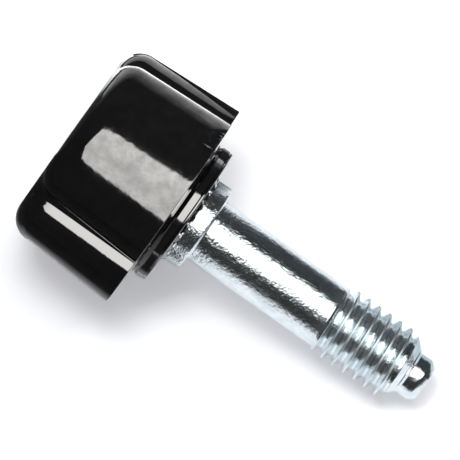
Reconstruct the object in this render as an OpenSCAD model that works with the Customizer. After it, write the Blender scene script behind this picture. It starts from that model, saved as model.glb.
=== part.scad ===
/* [Knob] */
// Diameter across the lobes, at the rim
knob_d = 18.1; // [16:0.1:24]
// Height of the lobed grip, from its rim to its top face
knob_h = 9.8; // [7:0.1:14]
// Number of lobes round the grip
lobes = 3; // [3:1:4]
// Radius of the two corners of each lobe
corner_r = 2.9; // [2.6:0.1:3.6]
// Depth of each flute at the rim, from the outer circle to its crease
flute_depth = 1.65; // [1.4:0.05:2.2]
// Radius at the bottom of each crease
crease_r = 0.12; // [0.08:0.01:0.4]
// Radius of the rounded edge round the top face
top_edge_r = 1.95; // [0.8:0.05:2.4]
// Draft of the lobes, in degrees. The creases between them run straight up.
draft = 3; // [0.5:0.5:4]

/* [Boss] */
// Diameter of the round boss under the grip
boss_d = 12; // [10:0.2:13]
// Height of the boss below the rim
boss_h = 1.5; // [0.8:0.1:4]
// Radius of the edge round the boss's face
boss_edge_r = 0.1; // [0.05:0.05:0.3]
// Width of the fine groove round the boss
groove_w = 0.1; // [0.05:0.05:0.2]
// Depth of the groove
groove_depth = 0.1; // [0.05:0.05:0.3]
// Thickness of the lip between the groove and the boss's face
lip_t = 0.22; // [0.2:0.02:0.3]
// Width of the neck between the grip's rim and the boss
neck_w = 0.2; // [0.1:0.05:0.25]
// How far the neck is set in from the boss's side
neck_depth = 0.5; // [0.2:0.1:1]

/* [Knurled head] */
// Diameter over the points of the knurl
knurl_d = 7.7; // [6.3:0.1:7.8]
// Depth of the knurl's teeth
knurl_depth = 0.3; // [0.1:0.05:0.5]
// Number of teeth round the knurl
knurl_teeth = 22; // [12:1:30]
// Length of the knurled head held in the knob
head_l = 6.5; // [4:0.5:8]
// Chamfer at the head's inner end
head_chamfer = 0.5; // [0.2:0.1:0.8]
// Clearance round the head, none where the knob grips it
head_clearance = 0; // [0:0.01:0.05]

/* [Collar and shank] */
// Length of knurl left bare between the boss and the collar
collar_gap = 0.3; // [0.1:0.1:1]
// Diameter of the collar
collar_d = 7.4; // [7.2:0.1:10]
// Thickness of the collar
collar_t = 1.3; // [0.8:0.1:3]
// Radius of the collar's edge beside the seat
collar_edge_r = 0.15; // [0.1:0.05:0.3]
// Diameter of the plain shank
shank_d = 5.4; // [5:0.05:5.6]
// Length from the collar's seat to the start of the thread
shank_l = 11.85; // [6:0.05:20]
// Radius of the fillet between the seat and the shank
seat_fillet_r = 0.15; // [0.1:0.05:0.3]

/* [Thread and point] */
// Diameter over the thread's crests
thread_d = 5.9; // [5.8:0.05:6]
// Pitch of the thread
thread_pitch = 1; // [0.75:0.25:1]
// Number of thread ridges
thread_ridges = 7; // [4:1:16]
// Diameter at the thread's roots
root_d = 4.8; // [4.7:0.05:4.9]
// Width of the flat on each crest
crest_w = 0.15; // [0.1:0.01:0.2]
// Diameter of the dog point
dog_d = 3.7; // [3:0.1:4]
// Length of the dog point's cylinder
dog_l = 1; // [0.5:0.1:3]
// Slope of the cone between the thread and the dog point, in degrees
cone_angle = 43; // [30:1:50]
// Length of the chamfer at the end of the dog point
dog_chamfer_l = 0.5; // [0.2:0.1:0.6]
// Width of the chamfer at the end of the dog point
dog_chamfer_w = 0.35; // [0.2:0.05:0.6]

/* [Hidden] */
$fn = 96;
knob_colour = "#17171a";
steel_colour = "#c3c9ce";
// How far a cutter reaches past what it cuts, and a joined shape into its neighbour
margin = 1;
// Half the angle between a thread's flanks
flank_angle = 30;

// Segments of the outer, corner and crease arcs of the lobed outline, and of the top edge
outer_steps = 12;
corner_steps = 10;
crease_steps = 6;
edge_steps = 8;

// Lengths along the screw's axis, from the rim of the grip towards the tip
collar_start = boss_h + collar_gap;
seat = collar_start + collar_t;
thread_start = seat + shank_l;
root_w = thread_pitch - crest_w - (thread_d - root_d) * tan(flank_angle);
first_crest = thread_start + (thread_d - shank_d) / 2 * tan(flank_angle) + crest_w / 2;
last_crest_end = first_crest + (thread_ridges - 1) * thread_pitch + crest_w / 2;
cone_l = (thread_d - dog_d) / 2 / tan(cone_angle);
dog_start = last_crest_end + cone_l;
dog_end = dog_start + dog_l;
tip = dog_end + dog_chamfer_l;

// The crease arcs' centres lie at this radius, from the rim to the top face
rim_r = knob_d / 2;
crease_centre_r = rim_r - flute_depth + crease_r;

// The side wall meets the rounded top edge at this height and outer radius
wall_h = knob_h - top_edge_r * (1 - sin(draft));
wall_r = rim_r - wall_h * tan(draft);

// Resting place: two corners of the rim and the last crest of the thread touch the ground
foot_r = corner_centre(rim_r).x + corner_r;
tilt = atan((foot_r - thread_d / 2) / last_crest_end);
axis_h = foot_r * cos(tilt);
top_foot_r = corner_centre(wall_r).x + corner_r - top_edge_r * cos(draft);
back_x = -(knob_h - top_edge_r) * cos(tilt) - top_foot_r * sin(tilt) - top_edge_r;
front_x = max(tip * cos(tilt) + (dog_d / 2 - dog_chamfer_w) * sin(tilt),
    dog_end * cos(tilt) + dog_d / 2 * sin(tilt));

// Centre of the corner arc beside the flute on the X axis, where the lobes reach outer_r. The
// arc touches the lobe's outer circle and the crease's arc.
function corner_centre(outer_r) =
    let (r = outer_r - corner_r,
        x = (crease_centre_r ^ 2 + r ^ 2 - (corner_r + crease_r) ^ 2) / (2 * crease_centre_r))
    [x, sqrt(r ^ 2 - x ^ 2)];

// Points of an arc, both ends included
function arc(centre, r, from, to, steps) =
    [for (i = [0:steps]) let (a = from + (to - from) * i / steps) centre + r * [cos(a), sin(a)]];

// The points between the ends of an arc
function inner_arc(centre, r, from, to, steps) =
    [for (i = [1:steps - 1]) arc(centre, r, from, to, steps)[i]];

// One flute on the X axis with the corners beside it, and the lobe's outer arc after it.
// inset shrinks the whole outline evenly, so the crease opens as the corners tighten.
function flute_points(outer_r, inset) =
    let (corner = corner_centre(outer_r),
        bend = atan2(corner.y, corner.x),
        meet = atan2(corner.y, corner.x - crease_centre_r))
    concat(
        arc([corner.x, -corner.y], corner_r - inset, -bend, 180 - meet, corner_steps),
        inner_arc([crease_centre_r, 0], crease_r + inset, 360 - meet, meet, crease_steps),
        arc(corner, corner_r - inset, meet - 180, bend, corner_steps),
        inner_arc([0, 0], outer_r - inset, bend, 360 / lobes - bend, outer_steps));

function turned(p, a) = [p.x * cos(a) - p.y * sin(a), p.x * sin(a) + p.y * cos(a)];

// The whole lobed outline at a height
function lobed_ring(outer_r, inset, z) =
    [for (k = [0:lobes - 1]) for (p = flute_points(outer_r, inset))
        let (q = turned(p, k * 360 / lobes)) [q.x, q.y, z]];

// A solid through a stack of rings that have the same number of points
module loft(rings) {
    count = len(rings[0]);
    last = len(rings) - 1;
    sides = [for (j = [0:last - 1]) for (i = [0:count - 1])
        let (n = (i + 1) % count)
        [j * count + i, (j + 1) * count + i, (j + 1) * count + n, j * count + n]];
    bottom = [for (i = [0:count - 1]) i];
    top = [for (i = [count - 1:-1:0]) last * count + i];
    polyhedron([for (ring = rings) each ring], concat([bottom], sides, [top]));
}

// The grip, standing on its rim: a drafted lobed wall and the rounded top edge. The loft
// starts below the rim, where a flat cut trims it.
module grip() {
    edge_levels = [for (i = [0:edge_steps]) draft + (90 - draft) * i / edge_steps];
    intersection() {
        loft(concat(
            [lobed_ring(rim_r + margin * tan(draft), 0, -margin)],
            [for (a = edge_levels) lobed_ring(wall_r, top_edge_r * (cos(draft) - cos(a)),
                knob_h - top_edge_r * (1 - sin(a)))]));
        cylinder(knob_h + margin, r = knob_d);
    }
}

// What a rounded edge takes off a corner that points to +X and +Y
module edge_waste(edge_r) {
    translate([-edge_r, -edge_r]) difference() {
        square(edge_r + margin);
        circle(edge_r);
    }
}

// The round boss under the grip, with its neck, fine groove and lip
module boss() {
    rotate_extrude() difference() {
        translate([0, -margin]) square([boss_d / 2, margin + boss_h]);
        translate([boss_d / 2, boss_h]) edge_waste(boss_edge_r);
        translate([boss_d / 2 - neck_depth, -2 * margin])
            square([neck_depth + margin, 2 * margin + neck_w]);
        translate([boss_d / 2 - groove_depth, boss_h - lip_t - groove_w])
            square([groove_depth + margin, groove_w]);
    }
}

// The straight-knurled head. Its inner end is chamfered, and its outer end slopes down to
// the collar's edge and runs on inside the collar.
module knurled_head(clearance) {
    point_r = knurl_d / 2 + clearance;
    valley_r = point_r - knurl_depth;
    outside_r = point_r + margin;
    head_start = boss_h - head_l - clearance;
    head_end = collar_start + collar_t / 2;
    intersection() {
        translate([0, 0, head_start]) linear_extrude(head_end - head_start)
            polygon([for (i = [0:2 * knurl_teeth - 1])
                let (r = i % 2 == 0 ? point_r : valley_r, a = 180 * i / knurl_teeth)
                r * [cos(a), sin(a)]]);
        rotate_extrude() polygon([[0, head_start], [point_r - head_chamfer, head_start],
            [outside_r, head_start + head_chamfer + margin],
            [outside_r, collar_start + collar_d / 2 - outside_r],
            [(collar_d - collar_t) / 2, head_end], [0, head_end]]);
    }
}

module collar_profile() {
    difference() {
        translate([0, collar_start]) square([collar_d / 2, collar_t]);
        translate([collar_d / 2, seat]) edge_waste(collar_edge_r);
    }
    difference() {
        translate([0, seat]) square([shank_d / 2 + seat_fillet_r, seat_fillet_r]);
        translate([shank_d / 2 + seat_fillet_r, seat + seat_fillet_r]) circle(seat_fillet_r);
    }
}

// The two points of a thread ridge's crest, and the two of the root after it
function crest(y) = [[thread_d / 2, y - crest_w / 2], [thread_d / 2, y + crest_w / 2]];
function root(y) = [[root_d / 2, y - root_w / 2], [root_d / 2, y + root_w / 2]];

// Shank, thread, cone and dog point: the first ridge rises from the shank, and the last
// one falls straight into the cone
module shank_profile() {
    thread = [for (i = [0:thread_ridges - 1]) let (y = first_crest + i * thread_pitch)
        each i < thread_ridges - 1 ? concat(crest(y), root(y + thread_pitch / 2)) : crest(y)];
    polygon(concat(
        [[0, collar_start], [shank_d / 2, collar_start], [shank_d / 2, thread_start]],
        thread,
        [[dog_d / 2, dog_start], [dog_d / 2, dog_end], [dog_d / 2 - dog_chamfer_w, tip], [0, tip]]));
}

// Lays the object on the ground with its tip towards +X and a flute facing down
module lying() {
    translate([-(back_x + front_x) / 2, 0, axis_h]) rotate([0, 90 + tilt, 0]) children();
}

module knob() {
    color(knob_colour) lying() difference() {
        union() {
            rotate([180, 0, 0]) grip();
            boss();
        }
        knurled_head(head_clearance);
    }
}

module screw() {
    color(steel_colour) lying() union() {
        knurled_head(0);
        rotate_extrude() {
            collar_profile();
            shank_profile();
        }
    }
}

knob();
screw();
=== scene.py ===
import math

import bmesh
import bpy
from mathutils import Matrix, Vector


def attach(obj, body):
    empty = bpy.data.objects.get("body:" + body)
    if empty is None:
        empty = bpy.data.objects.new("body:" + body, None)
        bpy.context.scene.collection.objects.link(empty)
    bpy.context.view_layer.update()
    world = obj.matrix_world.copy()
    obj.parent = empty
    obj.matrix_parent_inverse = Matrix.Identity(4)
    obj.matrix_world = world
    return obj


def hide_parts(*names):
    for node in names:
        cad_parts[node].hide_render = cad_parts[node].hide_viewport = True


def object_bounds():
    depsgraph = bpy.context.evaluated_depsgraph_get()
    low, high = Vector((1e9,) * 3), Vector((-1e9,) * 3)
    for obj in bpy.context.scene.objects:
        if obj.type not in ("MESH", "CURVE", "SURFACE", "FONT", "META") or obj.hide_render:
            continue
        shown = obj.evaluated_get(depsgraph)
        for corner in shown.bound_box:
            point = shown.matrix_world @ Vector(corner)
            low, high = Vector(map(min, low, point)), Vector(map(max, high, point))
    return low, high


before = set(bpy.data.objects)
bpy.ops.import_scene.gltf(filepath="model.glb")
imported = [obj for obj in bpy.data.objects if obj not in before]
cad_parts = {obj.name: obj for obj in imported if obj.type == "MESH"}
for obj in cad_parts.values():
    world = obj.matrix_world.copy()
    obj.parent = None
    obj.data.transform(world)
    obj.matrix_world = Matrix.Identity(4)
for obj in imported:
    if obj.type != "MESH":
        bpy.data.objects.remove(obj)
cad_low, cad_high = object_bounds()

# Sizes of the part, in millimetres along and round the screw's axis. s runs from the rim of
# the grip (0) towards the tip, and angles run from the side that faces the ground towards +Y.
RIM_R, KNOB_H, LOBES = 9.05, 9.794, 3
CORNER_R, FLUTE_DEPTH, CREASE_R = 2.9, 1.65, 0.12
TOP_EDGE_R, DRAFT = 1.95, math.radians(3)
RIM_EDGE_R = 0.05
BOSS_R, BOSS_H, BOSS_EDGE_R = 6.0, 1.5, 0.12
NECK_R, NECK_W, SLOPE_END, SLOPE_R = 5.5, 0.2, 0.62, 5.78
GROOVE_W, GROOVE_DEPTH, LIP_T, LIP_R = 0.11, 0.1, 0.21, 5.95
KNURL_R, KNURL_DEPTH, KNURL_TEETH = 3.85, 0.3, 22
KNURL_TURN = math.radians(5.3)
HEAD_L, HEAD_CHAMFER = 6.5, 0.5
RUNOUT_START, RUNOUT_END = 1.55, 1.88
COLLAR_START, COLLAR_T, COLLAR_R, COLLAR_EDGE_R = 1.8, 1.3, 3.7, 0.15
SHANK_R, SEAT_FILLET_R = 2.7, 0.15
THREAD_START, THREAD_R, ROOT_R, PITCH, CREST_W = 14.95, 2.95, 2.4, 1.0, 0.15
THREAD_PHASE, CREST_DROP, CREST_ROUGH = 0.36, 0.0095, 0.24
CONE_START, DOG_START, DOG_L, TIP = 21.2443, 22.4239, 1.0, 23.9239
DOG_R, CHAMFER_W = 1.85, 0.35
CUT_S, CUT_DEPTH, CUT_W = 22.17, 0.05, 0.03

# A knock on the upper lobe's edge at the rim: a shallow flat and the bead pushed up beside it
KNOCK_TURN, KNOCK_L, KNOCK_DEPTH = math.radians(151.1), 2.1, 0.12
BEADS = ((math.radians(160), -0.68, 0.42, 0.15, 0.09),
         (math.radians(146.8), -0.05, 0.15, 0.1, 0.085),
         (math.radians(149), -0.07, 0.17, 0.1, 0.09),
         (math.radians(151.2), -0.05, 0.13, 0.1, 0.08))

# How it lies: tilt of the axis, and where the centre of the rim is
TILT, RIM_X, RIM_Z = math.radians(14.8136), -6.18228, 8.2836
MM = 0.001

AXIS = Vector((math.cos(TILT), 0, -math.sin(TILT)))
ABOVE = Vector((math.sin(TILT), 0, math.cos(TILT)))
ACROSS = Vector((0, 1, 0))
RIM = Vector((RIM_X, 0, RIM_Z))


def place(x, y, s):
    """World position in metres of a local point: x towards the ground, y across, s along."""
    return (RIM - ABOVE * x + ACROSS * y + AXIS * s) * MM


# ---------------------------------------------------------------- mesh helpers

def stack(name, rings, sharp=math.radians(35)):
    """A closed mesh through rings of local points. One-point rings close its ends."""
    bm = bmesh.new()
    levels = [[bm.verts.new(place(*p)) for p in ring] for ring in rings]
    for low, high in zip(levels, levels[1:]):
        n = max(len(low), len(high))
        for i in range(n):
            k = (i + 1) % n
            if len(low) == 1:
                bm.faces.new((low[0], high[i], high[k]))
            elif len(high) == 1:
                bm.faces.new((low[k], low[i], high[0]))
            else:
                bm.faces.new((low[i], low[k], high[k], high[i])[::-1])
    bmesh.ops.recalc_face_normals(bm, faces=bm.faces)
    mesh = bpy.data.meshes.new(name)
    bm.to_mesh(mesh)
    bm.free()
    mesh.shade_smooth()
    mesh.set_sharp_from_angle(angle=sharp)
    obj = bpy.data.objects.new(name, mesh)
    bpy.context.scene.collection.objects.link(obj)
    return obj


def span(a, b, n):
    return [a + (b - a) * i / n for i in range(n + 1)]


def crisp(profile, near=0.012):
    """The profile with a point close to each corner on both sides, so shading stays flat."""
    out = [profile[0]]
    for before, here, after in zip(profile, profile[1:], profile[2:]):
        for end, keep in ((before, True), (after, False)):
            far = math.dist(here, end)
            t = min(near / far, 0.3)
            point = tuple(h + (e - h) * t for h, e in zip(here, end))
            if keep:
                out += [point, here]
            else:
                out.append(point)
    return out + [profile[-1]]


def circle(r, s, angles):
    return [(r * math.cos(a), r * math.sin(a), s) for a in angles]


# ---------------------------------------------------------------- knob

CORNER_N, CREASE_N, OUTER_N, OUTER_END_N = 36, 14, 30, 44
OUTER_END = math.radians(17)
CREASE_C = RIM_R - FLUTE_DEPTH + CREASE_R


def arc(cx, cy, r, a, b, n):
    return [(cx + r * math.cos(t), cy + r * math.sin(t)) for t in span(a, b, n)]


def lobed_ring(outer_r, inset, s):
    r = outer_r - CORNER_R
    cx = (CREASE_C ** 2 + r ** 2 - (CORNER_R + CREASE_R) ** 2) / (2 * CREASE_C)
    cy = math.sqrt(r ** 2 - cx ** 2)
    bend = math.atan2(cy, cx)
    meet = math.atan2(cy, cx - CREASE_C)
    full = 2 * math.pi / LOBES
    flute = (arc(cx, -cy, CORNER_R - inset, -bend, math.pi - meet, CORNER_N)
             + arc(CREASE_C, 0, CREASE_R + inset, 2 * math.pi - meet, meet, CREASE_N)[1:-1]
             + arc(cx, cy, CORNER_R - inset, meet - math.pi, bend, CORNER_N)
             + arc(0, 0, outer_r - inset, bend, bend + OUTER_END, OUTER_END_N)[1:]
             + arc(0, 0, outer_r - inset, bend + OUTER_END, full - bend - OUTER_END, OUTER_N)[1:]
             + arc(0, 0, outer_r - inset, full - bend - OUTER_END, full - bend,
                   OUTER_END_N)[1:-1])
    # the corner arc runs the short way round
    ring = []
    for k in range(LOBES):
        c, w = math.cos(k * full), math.sin(k * full)
        ring += [(x * c - y * w, x * w + y * c, s) for x, y in flute]
    return ring


def knocked(point):
    """The point as the knock near the rim leaves it."""
    x, y, s = point
    if s < -KNOCK_L:
        return point
    nx, ny = math.cos(KNOCK_TURN), math.sin(KNOCK_TURN)
    grain = 0.12 * math.sin(4.1 * s + 1.3 * y) + 0.05 * math.sin(9 * s - 5 * x)
    flat = RIM_R - KNOCK_DEPTH * (1 + s / KNOCK_L) * (1 + grain)
    over = x * nx + y * ny - flat
    if over > 0:
        x, y = x - over * nx, y - over * ny
    r, turn = math.hypot(x, y), math.atan2(y, x)
    for at, bead_s, length, width, rise in BEADS if r > BOSS_R else ():
        far = ((s - bead_s) / length) ** 2 + (r * (turn - at) / width) ** 2
        r += rise * math.exp(-far)
    return r * math.cos(turn), r * math.sin(turn), s


def make_knob():
    wall_h = KNOB_H - TOP_EDGE_R * (1 - math.sin(DRAFT))
    wall_in = wall_h * math.tan(DRAFT)
    count = len(lobed_ring(RIM_R, 0, 0))
    step = 2 * math.pi / count
    turns = [(i - round(22.5 / 360 * count)) * step for i in range(count)]
    top = lobed_ring(RIM_R, wall_in + TOP_EDGE_R * math.cos(DRAFT), -KNOB_H)
    rings = [[(0, 0, -KNOB_H)]]
    for f in (0.05, 0.2, 0.4, 0.6, 0.8, 0.93):
        rings.append([(x * f, y * f, s) for x, y, s in top])
    for a in span(math.pi / 2, DRAFT, 20):
        inset = wall_in + TOP_EDGE_R * (math.cos(DRAFT) - math.cos(a))
        rings.append(lobed_ring(RIM_R, inset, -(KNOB_H - TOP_EDGE_R * (1 - math.sin(a)))))
    for s in span(-wall_h, -2, 10)[1:] + span(-2, -RIM_EDGE_R, 28)[1:]:
        rings.append(lobed_ring(RIM_R, -s * math.tan(DRAFT), s))
    for a in span(0, math.pi / 2, 5)[1:]:
        rings.append(lobed_ring(RIM_R, RIM_EDGE_R * (1 - math.cos(a)),
                                -RIM_EDGE_R * (1 - math.sin(a))))
    inner = circle(NECK_R, 0, turns)
    outer = rings[-1]
    for f in (0.25, 0.5, 0.75):
        rings.append([tuple(p + (q - p) * f for p, q in zip(po, pi))
                      for po, pi in zip(outer, inner)])
    groove_end = BOSS_H - LIP_T
    profile = [(NECK_R, 0), (NECK_R, NECK_W), (BOSS_R - 0.08, NECK_W),
               (BOSS_R - 0.05, NECK_W + 0.03), (BOSS_R - 0.05, NECK_W + 0.1),
               (SLOPE_R, NECK_W + 0.13), (BOSS_R - 0.03, SLOPE_END - 0.04),
               (BOSS_R, SLOPE_END + 0.03), (BOSS_R, groove_end - GROOVE_W),
               (BOSS_R - GROOVE_DEPTH, groove_end - GROOVE_W / 2), (LIP_R, groove_end)]
    rings = [[knocked(p) for p in ring] for ring in rings]
    profile = crisp(profile)
    profile += [(LIP_R - BOSS_EDGE_R * (1 - math.cos(a)),
                 BOSS_H - BOSS_EDGE_R * (1 - math.sin(a))) for a in span(0, math.pi / 2, 5)]
    profile += [(r, BOSS_H) for r in (5.2, 4.4)]
    rings += [circle(r, s, turns) for r, s in profile]
    # plastic fills the knurl's valleys as far as they show beyond the boss
    for fill, s in ((3.88, BOSS_H), (3.8, BOSS_H + 0.03), (3.72, 1.7), (3.65, 1.8), (0, 1.83),
                    (0, BOSS_H)):
        rings.append([(r * math.cos(a), r * math.sin(a), s) for a, r in
                      ((a, max(fill, run_out_r(s, a) - 0.003)) for a in turns)])
    head_start = BOSS_H - HEAD_L
    foot = head_start + HEAD_CHAMFER
    rings.append([(knurl_r(a) * math.cos(a), knurl_r(a) * math.sin(a), foot) for a in turns])
    flat_r = KNURL_R - HEAD_CHAMFER
    rings.append(circle(flat_r, head_start, turns))
    rings.append([(0, 0, head_start)])
    return stack("knob_shell", rings)


# ---------------------------------------------------------------- screw

def knurl_r(angle):
    """Distance to the toothed outline, whose points and valleys are joined by straight lines."""
    half = math.pi / KNURL_TEETH
    t = ((angle - KNURL_TURN) % (2 * half)) / half
    if t > 1:
        t = 2 - t
    valley = KNURL_R - KNURL_DEPTH
    x0, x1, y1 = KNURL_R, valley * math.cos(half), valley * math.sin(half)
    a = t * half
    # line from (x0, 0) to (x1, y1) met by the ray at angle a
    d = (x1 - x0) * math.sin(a) - y1 * math.cos(a)
    return -x0 * y1 / d


def run_out_r(s, angle):
    """The knurl's teeth sink into the collar, and its valleys end in round scallops."""
    tips = min(KNURL_R, COLLAR_R + max(0, COLLAR_START - s))
    t = min(max((s - RUNOUT_START) / (RUNOUT_END - RUNOUT_START), 0), 1)
    rise = (KNURL_DEPTH + COLLAR_R - KNURL_R) * (1 - math.sqrt(1 - t * t))
    return min(tips, knurl_r(angle) + rise)


def smooth(t):
    t = min(max(t, 0), 1)
    return t * t * (3 - 2 * t)


def thread_r(s, angle):
    """Right-hand helix with slightly rounded crests and roots, ending in the cone."""
    turn = (s - THREAD_PHASE) / PITCH - angle / (2 * math.pi)
    x = abs(turn - round(turn)) * PITCH
    flank = math.tan(math.radians(30))
    r = THREAD_R - max(0, x - CREST_W / 2) / flank
    k = 0.007
    r = ROOT_R + 0.5 * (r - ROOT_R + math.sqrt((r - ROOT_R) ** 2 + k * k)) - k * 0.1
    crest = THREAD_R - CREST_DROP * min(x / (CREST_W / 2 + CREST_DROP * flank), 1) ** 2
    r = min(r, crest)
    start = smooth((s - (THREAD_START - 0.25)) / 0.55)
    r = SHANK_R + (r - SHANK_R) * start
    cone = THREAD_R - (s - CONE_START) / (DOG_START - CONE_START) * (THREAD_R - DOG_R)
    cone -= CUT_DEPTH * math.exp(-((s - CUT_S) / CUT_W) ** 2)
    return min(r, cone)


def make_screw():
    count = 4 * 2 * KNURL_TEETH
    turns = [KNURL_TURN + i * 2 * math.pi / count for i in range(count)]

    def rounded(r, s, edge, corner, steps=6):
        """Profile points of a rounded edge: corner is 'out' where the path turns from
        radial to axial, and 'in' where it turns back."""
        if corner == "out":
            return [(r - edge * (1 - math.sin(a)), s + edge * (1 - math.cos(a)))
                    for a in span(0, math.pi / 2, steps)]
        return [(r - edge * (1 - math.cos(a)), s - edge * (1 - math.sin(a)))
                for a in span(0, math.pi / 2, steps)]

    head_start = BOSS_H - HEAD_L
    seat = COLLAR_START + COLLAR_T
    rings = [[(0, 0, head_start)], circle(KNURL_R - HEAD_CHAMFER, head_start, turns)]
    for s in [head_start + HEAD_CHAMFER] + span(BOSS_H - 0.1, RUNOUT_END, 24):
        rings.append([(run_out_r(s, a) * math.cos(a), run_out_r(s, a) * math.sin(a), s)
                      for a in turns])
    profile = [(COLLAR_R, s) for s in span(RUNOUT_END, seat - COLLAR_EDGE_R, 5)[1:-1]]
    profile += rounded(COLLAR_R, seat, COLLAR_EDGE_R, "in")
    profile += [(SHANK_R + SEAT_FILLET_R * (1 - math.sin(a)),
                 seat + SEAT_FILLET_R * (1 - math.cos(a))) for a in span(0, math.pi / 2, 6)]
    thread_zone = THREAD_START - 0.3
    profile += [(SHANK_R, s) for s in span(seat + SEAT_FILLET_R, thread_zone, 24)[1:]]
    rings += [circle(r, s, turns) for r, s in profile]
    fine = int((DOG_START - thread_zone) / 0.021)
    for s in span(thread_zone, DOG_START, fine)[1:]:
        rings.append([(thread_r(s, a) * math.cos(a), thread_r(s, a) * math.sin(a), s)
                      for a in turns])
    dog_end = DOG_START + DOG_L
    profile = [(DOG_R, s) for s in span(DOG_START, dog_end - 0.04, 4)[1:]]
    profile += [(DOG_R - 0.012, dog_end), (DOG_R - CHAMFER_W + 0.03, TIP - 0.04),
                (DOG_R - CHAMFER_W - 0.01, TIP - 0.008), (DOG_R - CHAMFER_W - 0.05, TIP)]
    profile += [(r, TIP) for r in (1.0, 0.5)]
    rings += [circle(r, s, turns) for r, s in profile]
    rings.append([(0, 0, TIP)])
    return stack("screw_turned", rings)


# ---------------------------------------------------------------- materials

class Nodes:
    """A material's node tree, with short calls for its nodes and links."""

    def __init__(self, name):
        self.mat = bpy.data.materials.new(name)
        self.mat.use_nodes = True
        self.tree = self.mat.node_tree
        self.tree.nodes.clear()
        self.out = self.add("ShaderNodeOutputMaterial")

    def add(self, kind, **inputs):
        node = self.tree.nodes.new(kind)
        for key, value in inputs.items():
            node.inputs[key.replace("_", " ")].default_value = value
        return node

    def link(self, source, target):
        self.tree.links.new(source, target)

    def noise(self, coords, scale, detail=2.0, rough=0.5):
        node = self.add("ShaderNodeTexNoise", Scale=scale, Detail=detail, Roughness=rough)
        self.link(coords, node.inputs["Vector"])
        return node.outputs["Fac"]

    def ramp(self, source, low, high, at=(0.3, 0.7)):
        node = self.add("ShaderNodeValToRGB")
        for element, place_, colour in zip(node.color_ramp.elements, at, (low, high)):
            element.position = place_
            element.color = (*colour, 1)
        self.link(source, node.inputs["Fac"])
        return node.outputs["Color"]

    def spread(self, source, low, high):
        node = self.add("ShaderNodeMapRange", From_Min=0.3, From_Max=0.7,
                        To_Min=low, To_Max=high)
        self.link(source, node.inputs["Value"])
        return node.outputs["Result"]

    def bump(self, source, depth, before=None):
        node = self.add("ShaderNodeBump", Strength=1.0, Distance=depth)
        self.link(source, node.inputs["Height"])
        if before:
            self.link(before, node.inputs["Normal"])
        return node.outputs["Normal"]


def millimetres(nodes):
    coords = nodes.add("ShaderNodeTexCoord")
    mapping = nodes.add("ShaderNodeMapping")
    mapping.inputs["Scale"].default_value = (1000, 1000, 1000)
    nodes.link(coords.outputs["Object"], mapping.inputs["Vector"])
    return mapping.outputs["Vector"]


def about_axis(nodes, at):
    """Places measured from the rim's middle, with X along the screw, and the distance
    from its axis, in millimetres."""
    axial = nodes.add("ShaderNodeMapping", Rotation=(0, -TILT, 0),
                      Location=Matrix.Rotation(-TILT, 3, "Y") @ -RIM)
    nodes.link(at, axial.inputs["Vector"])
    split = nodes.add("ShaderNodeSeparateXYZ")
    nodes.link(axial.outputs["Vector"], split.inputs[0])
    flat = nodes.add("ShaderNodeCombineXYZ")
    nodes.link(split.outputs["Y"], flat.inputs["Y"])
    nodes.link(split.outputs["Z"], flat.inputs["Z"])
    radius = nodes.add("ShaderNodeVectorMath")
    radius.operation = "LENGTH"
    nodes.link(flat.outputs[0], radius.inputs[0])
    return split.outputs, radius.outputs["Value"]


def plastic():
    n = Nodes("black_gloss_plastic")
    at = millimetres(n)
    along, radius = about_axis(n, at)
    bsdf = n.add("ShaderNodeBsdfPrincipled", Metallic=0.0, IOR=1.65, Coat_IOR=2.2,
                 Coat_Roughness=0.06)
    # full gloss in the flutes, and a weaker coat on the lobes' outer faces and on the top, which
    # dims their reflections
    crown = n.add("ShaderNodeMapRange", From_Min=7.9, From_Max=8.25)
    n.link(radius, crown.inputs["Value"])
    end = n.add("ShaderNodeMapRange", From_Min=-7.6, From_Max=-8.6)
    n.link(along["X"], end.inputs["Value"])
    lobes_and_top = n.add("ShaderNodeMath")
    lobes_and_top.operation = "MAXIMUM"
    n.link(crown.outputs["Result"], lobes_and_top.inputs[0])
    n.link(end.outputs["Result"], lobes_and_top.inputs[1])
    coat = n.add("ShaderNodeMapRange", To_Min=1.0)
    n.link(lobes_and_top.outputs[0], coat.inputs["Value"])
    # painted highlight: the coat grows stronger towards +Y, so the lobes' highlights are
    # brighter on their upper side; the noise adds random mottle to it
    side = n.add("ShaderNodeMapRange", From_Min=-2.0, From_Max=2.2, To_Min=0.75, To_Max=1.6)
    n.link(along["Y"], side.inputs["Value"])
    painted_sheen_and_mottle = n.add("ShaderNodeMath")
    painted_sheen_and_mottle.operation = "MULTIPLY"
    n.link(side.outputs["Result"], painted_sheen_and_mottle.inputs[0])
    n.link(n.spread(n.noise(at, 1.1, 6, 0.65), 0.4, 0.95), painted_sheen_and_mottle.inputs[1])
    n.link(painted_sheen_and_mottle.outputs[0], coat.inputs["To Max"])
    n.link(coat.outputs["Result"], bsdf.inputs["Coat Weight"])
    n.link(n.ramp(n.noise(at, 0.6, 3), (0.002, 0.002, 0.0026), (0.0035, 0.0035, 0.0044)),
           bsdf.inputs["Base Color"])
    n.link(n.spread(n.noise(at, 1.3, 3), 0.05, 0.11), bsdf.inputs["Roughness"])
    peel = n.bump(n.noise(at, 4.5, 2.0), 0.0000018)
    skin = n.bump(n.noise(at, 1.2, 1.0), 0.000006, peel)
    n.link(skin, bsdf.inputs["Normal"])
    n.link(skin, bsdf.inputs["Coat Normal"])
    n.link(bsdf.outputs["BSDF"], n.out.inputs["Surface"])
    return n.mat


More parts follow.
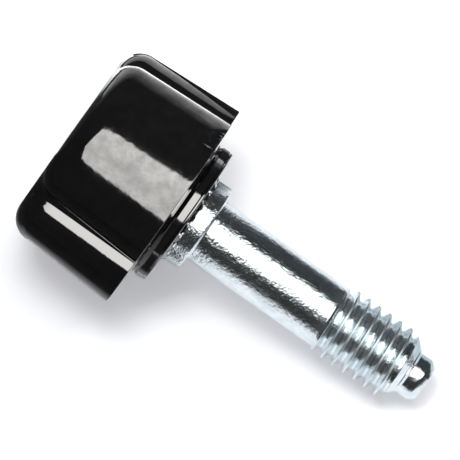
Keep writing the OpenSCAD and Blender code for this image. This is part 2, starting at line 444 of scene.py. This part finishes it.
def zinc():
    n = Nodes("zinc_plated_steel")
    at = millimetres(n)
    bsdf = n.add("ShaderNodeBsdfPrincipled")
    n.link(n.ramp(n.noise(at, 1.1, 4), (0.66, 0.74, 0.78), (0.84, 0.90, 0.93)),
           bsdf.inputs["Base Color"])
    peel = n.bump(n.noise(at, 3.2, 1.0), 0.000032)
    skin = n.bump(n.noise(at, 7.5, 2.0), 0.00002, peel)
    split = n.add("ShaderNodeSeparateXYZ")
    n.link(at, split.inputs[0])
    rolled = n.add("ShaderNodeMapRange", From_Min=7.9, From_Max=8.6, To_Min=1.0, To_Max=0.6)
    n.link(split.outputs["X"], rolled.inputs["Value"])
    for step in (peel.node, skin.node):
        n.link(rolled.outputs["Result"], step.inputs["Strength"])
    n.link(skin, bsdf.inputs["Normal"])
    tip = n.add("ShaderNodeMapRange", From_Min=14.2, From_Max=14.8, To_Min=0.95, To_Max=1.0)
    n.link(split.outputs["X"], tip.inputs["Value"])
    dull = n.add("ShaderNodeMapRange", From_Min=7.9, From_Max=8.6, To_Min=1.0)
    n.link(split.outputs["X"], dull.inputs["Value"])
    n.link(tip.outputs["Result"], dull.inputs["To Max"])
    n.link(dull.outputs["Result"], bsdf.inputs["Metallic"])
    satin = n.add("ShaderNodeMapRange", From_Min=7.9, From_Max=8.6, To_Min=1.0, To_Max=0.85)
    n.link(split.outputs["X"], satin.inputs["Value"])
    rough = n.add("ShaderNodeMath")
    rough.operation = "MULTIPLY"
    n.link(n.spread(n.noise(at, 3.0, 3), 0.145, 0.26), rough.inputs[0])
    n.link(satin.outputs["Result"], rough.inputs[1])
    crest = n.add("ShaderNodeMapRange", From_Min=2.92, From_Max=2.94, To_Max=CREST_ROUGH)
    n.link(about_axis(n, at)[1], crest.inputs["Value"])
    threaded = n.add("ShaderNodeMapRange", From_Min=7.9, From_Max=8.6)
    n.link(split.outputs["X"], threaded.inputs["Value"])
    more = n.add("ShaderNodeMath")
    more.operation = "MULTIPLY_ADD"
    n.link(crest.outputs["Result"], more.inputs[0])
    n.link(threaded.outputs["Result"], more.inputs[1])
    n.link(rough.outputs[0], more.inputs[2])
    n.link(more.outputs[0], bsdf.inputs["Roughness"])
    n.link(bsdf.outputs["BSDF"], n.out.inputs["Surface"])
    return n.mat


# ---------------------------------------------------------------- pieces

knob = make_knob()
knob.data.materials.append(plastic())
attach(knob, "root")
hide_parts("knob")

screw = make_screw()
screw.data.materials.append(zinc())
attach(screw, "root")
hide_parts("screw")

# ---------------------------------------------------------------- camera

FOCAL_PX, SCALE_PX, IMAGE_PX, SENSOR = 6000.0, 12.88, 460, 36.0
LOOK_S, LOOK_V = 4.666, 13.65
ROUND, LEAN, ROLL = math.radians(15.1), math.radians(1.7), math.radians(35.2)

facing = ABOVE * math.cos(ROUND) - ACROSS * math.sin(ROUND)
side = ABOVE * math.sin(ROUND) + ACROSS * math.cos(ROUND)
to_camera = facing * math.cos(LEAN) - AXIS * math.sin(LEAN)
along = AXIS * math.cos(LEAN) + facing * math.sin(LEAN)
right = along * math.cos(ROLL) + side * math.sin(ROLL)
up = side * math.cos(ROLL) - along * math.sin(ROLL)
look_at = RIM + AXIS * LOOK_S + side * (LOOK_V / SCALE_PX)


def facing_matrix(x_axis, y_axis, z_axis, at_mm):
    m = Matrix((x_axis, y_axis, z_axis)).transposed().to_4x4()
    m.translation = at_mm * MM
    return m


camera_data = bpy.data.cameras.new("camera")
camera_data.sensor_width = SENSOR
camera_data.lens = FOCAL_PX / IMAGE_PX * SENSOR
camera = bpy.data.objects.new("camera", camera_data)
camera.matrix_world = facing_matrix(right, up, to_camera,
                                    look_at + to_camera * (FOCAL_PX / SCALE_PX))
bpy.context.scene.collection.objects.link(camera)
bpy.context.scene.camera = camera

# ---------------------------------------------------------------- light, floor, world

BOX_AWAY, BOX_LONG, BOX_HIGH = 250.0, 288.0, 132.0
BOX_ALONG, BOX_SIDE, BOX_TURN = 0.034, 0.301, math.radians(54.8)
BOX_RADIANCE = 3.5
KEY_AWAY, KEY_SIZE = 280.0, 110.0
KEYS = ((0.55, -0.35, 0.3), (0.27, 0.0, 0.7))


def at_tangents(away, a, w):
    """The point at a distance above the object, a along the axis and w to its side."""
    return look_at + (facing + AXIS * a + side * w) * away


def area_light(name, long, high, watts, away, a, w, colour=(1, 1, 1)):
    data = bpy.data.lights.new(name, "AREA")
    data.shape = "RECTANGLE"
    data.size = long * MM
    data.size_y = high * MM
    data.energy = watts
    data.color = colour
    box_x = AXIS * math.cos(BOX_TURN) + side * math.sin(BOX_TURN)
    obj = bpy.data.objects.new(name, data)
    obj.matrix_world = facing_matrix(box_x, facing.cross(box_x), facing,
                                     at_tangents(away, a, w))
    obj.visible_camera = False
    bpy.context.scene.collection.objects.link(obj)
    return obj


softbox = area_light("softbox", BOX_LONG, BOX_HIGH,
                     BOX_RADIANCE * math.pi * BOX_LONG * BOX_HIGH * MM * MM,
                     BOX_AWAY, BOX_ALONG, BOX_SIDE, (1, 0.985, 0.955))
softbox.visible_diffuse = False
for number, (watts, key_a, key_w) in enumerate(KEYS):
    key = area_light(f"key_{number}", KEY_SIZE, KEY_SIZE, watts, KEY_AWAY, key_a, key_w)
    key.visible_glossy = False


def card(name, points, colour, glow=0.0, fades=(), tint=(1, 1, 1)):
    """A flat studio card for the reflections, unseen itself. Its glow fades along world
    axes, each given with where it is gone and where it is full, in metres."""
    bm = bmesh.new()
    bm.faces.new([bm.verts.new(p * MM) for p in points])
    mesh = bpy.data.meshes.new(name)
    bm.to_mesh(mesh)
    bm.free()
    n = Nodes(name)
    flat = n.add("ShaderNodeBsdfDiffuse", Color=(*colour, 1))
    light = n.add("ShaderNodeEmission", Color=(*tint, 1), Strength=glow)
    strength = None
    for axis, gone, full in fades:
        split = n.add("ShaderNodeSeparateXYZ")
        n.link(n.add("ShaderNodeTexCoord").outputs["Object"], split.inputs[0])
        fade = n.add("ShaderNodeMapRange", From_Min=gone, From_Max=full, To_Max=glow)
        n.link(split.outputs[axis], fade.inputs["Value"])
        least = n.add("ShaderNodeMath")
        least.operation = "MINIMUM"
        least.inputs[1].default_value = glow
        n.link(fade.outputs["Result"], least.inputs[0])
        if strength:
            n.link(strength, least.inputs[1])
        strength = least.outputs[0]
        n.link(strength, light.inputs["Strength"])
    both = n.add("ShaderNodeAddShader")
    n.link(flat.outputs[0], both.inputs[0])
    n.link(light.outputs[0], both.inputs[1])
    n.link(both.outputs[0], n.out.inputs["Surface"])
    mesh.materials.append(n.mat)
    obj = bpy.data.objects.new(name, mesh)
    obj.visible_camera = False
    obj.visible_transmission = False
    bpy.context.scene.collection.objects.link(obj)
    return obj


def unseen(obj):
    """Only reflections see this card: it takes no part in the plain light."""
    obj.visible_diffuse = False
    obj.visible_shadow = False


FAR = 1400
unseen(card("flag_side", [Vector((x, y, 0.3)) for x, y in
                          ((-16.5, 1), (-16.5, -9.5), (-4, -9.5), (-4, -FAR),
                           (-FAR, -FAR), (-FAR, 1))], (0.03, 0.03, 0.03), 0.5,
            (("X", -0.0215, -0.0165), ("Y", -0.0145, -0.0095)), (0.95, 0.95, 1)))
unseen(card("flag_end", [Vector((x, y, 0.3)) for x, y in
                         ((-30, 1), (-FAR, 1), (-FAR, FAR), (-90, FAR))], (0.06, 0.06, 0.06)))
unseen(card("flag_back", [Vector(p) for p in
                          ((-2, 30, 0.3), (30, 3, 0.3), (30, 3, 5), (-2, 30, 24))],
            (0.08, 0.09, 0.10)))
unseen(card("flag_foot", [Vector(p) for p in
                          ((-17.5, 9.7, 0.3), (-4.5, 9.7, 0.3), (-4.5, 9.7, 4.6),
                           (-17.5, 9.7, 4.6))], (0.2, 0.2, 0.22)))
unseen(card("flag_lobe", [Vector(p) for p in
                          ((-16.5, 9.4, 5.5), (-3.6, 9.4, 5.5), (-3.6, 9.4, 11.2),
                           (-16.5, 9.4, 11.2))], (0.14, 0.14, 0.155)))
unseen(card("flag_far", [Vector(p) for p in
                         ((-80, 33, 0.3), (-6, 33, 0.3), (-6, 33, 18), (-80, 33, 18))],
            (0.1, 0.1, 0.11), 0.75, (("Z", 0.03, 0.0),)))
unseen(card("flag_boss", [Vector(p) for p in
                          ((-6.3, 6.0, 0.3), (-4.5, 6.0, 0.3), (-4.5, 9.7, 0.3),
                           (-6.3, 9.7, 0.3))], (0.15, 0.15, 0.17)))
unseen(card("flag_thread", [Vector(p) for p in
                            ((8.5, 3.8, 0.3), (20, 3.8, 0.3), (20, 3.8, 2.4), (8.5, 3.8, 5.0))],
            (0.62, 0.68, 0.72), 0.5, (), (0.62, 0.68, 0.72)))
unseen(card("bounce", [Vector((x, y, 0.3)) for x, y in
                       ((-40, 13), (-8, 13), (-8, 22.5), (-40, 22.5))], (0.9, 0.9, 0.9), 1.6))


def seen(nodes):
    """1 for camera, glossy and transmission rays."""
    path = nodes.new("ShaderNodeLightPath")
    last = path.outputs["Is Camera Ray"]
    links = nodes.id_data.links
    for name in ("Is Glossy Ray", "Is Transmission Ray"):
        add = nodes.new("ShaderNodeMath")
        add.operation = "MAXIMUM"
        links.new(last, add.inputs[0])
        links.new(path.outputs[name], add.inputs[1])
        last = add.outputs[0]
    return last, path


def make_floor():
    z = cad_low[2] - 2e-6
    half, n = 1.5, 6
    bm = bmesh.new()
    grid = [[bm.verts.new((half * (2 * i / n - 1), half * (2 * j / n - 1), z))
             for i in range(n + 1)] for j in range(n + 1)]
    for j in range(n):
        for i in range(n):
            bm.faces.new((grid[j][i], grid[j][i + 1], grid[j + 1][i + 1], grid[j + 1][i]))
    mesh = bpy.data.meshes.new("floor")
    bm.to_mesh(mesh)
    bm.free()
    obj = bpy.data.objects.new("floor", mesh)
    bpy.context.scene.collection.objects.link(obj)

    n = Nodes("white_floor")
    plain = n.add("ShaderNodeBsdfDiffuse", Color=(0.8, 0.8, 0.8, 1))
    lit = n.add("ShaderNodeBsdfDiffuse", Color=(0.90, 0.905, 0.92, 1))
    glow = n.add("ShaderNodeEmission", Color=(0.95, 0.95, 1, 1))
    both = n.add("ShaderNodeAddShader")
    n.link(lit.outputs[0], both.inputs[0])
    n.link(glow.outputs[0], both.inputs[1])
    mix = n.add("ShaderNodeMixShader")
    fac, path = seen(n.tree.nodes)
    lift = n.add("ShaderNodeMapRange", To_Min=0.18, To_Max=0.29)
    n.link(path.outputs["Is Camera Ray"], lift.inputs["Value"])
    n.link(lift.outputs["Result"], glow.inputs["Strength"])
    n.link(fac, mix.inputs[0])
    n.link(plain.outputs[0], mix.inputs[1])
    n.link(both.outputs[0], mix.inputs[2])
    n.link(mix.outputs[0], n.out.inputs["Surface"])
    mesh.materials.append(n.mat)
    return obj


make_floor()


def make_world():
    """White behind the object, plain light on it, and a dim room overhead in its gloss."""
    world = bpy.data.worlds.new("studio")
    world.use_nodes = True
    tree = world.node_tree
    tree.nodes.clear()
    out = tree.nodes.new("ShaderNodeOutputWorld")
    background = tree.nodes.new("ShaderNodeBackground")
    tree.links.new(background.outputs[0], out.inputs["Surface"])
    path = tree.nodes.new("ShaderNodeLightPath")
    coords = tree.nodes.new("ShaderNodeTexCoord")
    split = tree.nodes.new("ShaderNodeSeparateXYZ")
    tree.links.new(coords.outputs["Generated"], split.inputs[0])
    room = tree.nodes.new("ShaderNodeMapRange")
    room.inputs["From Min"].default_value = 0.0
    room.inputs["From Max"].default_value = 0.22
    room.inputs["To Min"].default_value = 0.4
    room.inputs["To Max"].default_value = 0.04
    tree.links.new(split.outputs["Z"], room.inputs["Value"])

    def choose(test, yes, no):
        mix = tree.nodes.new("ShaderNodeMix")
        mix.data_type = "FLOAT"
        tree.links.new(test, mix.inputs["Factor"])
        for socket, value in ((mix.inputs["A"], no), (mix.inputs["B"], yes)):
            if isinstance(value, float):
                socket.default_value = value
            else:
                tree.links.new(value, socket)
        return mix.outputs["Result"]

    flank = tree.nodes.new("ShaderNodeMapRange")
    for name, value in (("From Min", 0.2), ("From Max", 0.7), ("To Min", 0.04), ("To Max", 1)):
        flank.inputs[name].default_value = value
    tree.links.new(split.outputs["Y"], flank.inputs["Value"])
    end = tree.nodes.new("ShaderNodeMapRange")
    for name, value in (("From Min", 0.2), ("From Max", 0.5), ("To Min", 1), ("To Max", 0.04)):
        end.inputs[name].default_value = value
    tree.links.new(split.outputs["X"], end.inputs["Value"])

    def join(kind, first, second):
        node = tree.nodes.new("ShaderNodeMath")
        node.operation = kind
        for socket, value in zip(node.inputs, (first, second)):
            if isinstance(value, float):
                socket.default_value = value
            else:
                tree.links.new(value, socket)
        return node.outputs[0]

    dim = join("MULTIPLY", flank.outputs["Result"], end.outputs["Result"])
    least = join("MAXIMUM", join("MULTIPLY", room.outputs["Result"], dim), 0.04)
    gloss = choose(path.outputs["Is Glossy Ray"], least, 0.47)
    clear = choose(path.outputs["Is Transmission Ray"], 1.0, gloss)
    tree.links.new(choose(path.outputs["Is Camera Ray"], 1.0, clear),
                   background.inputs["Strength"])
    bpy.context.scene.world = world


make_world()

bpy.context.scene.view_settings.view_transform = "Standard"
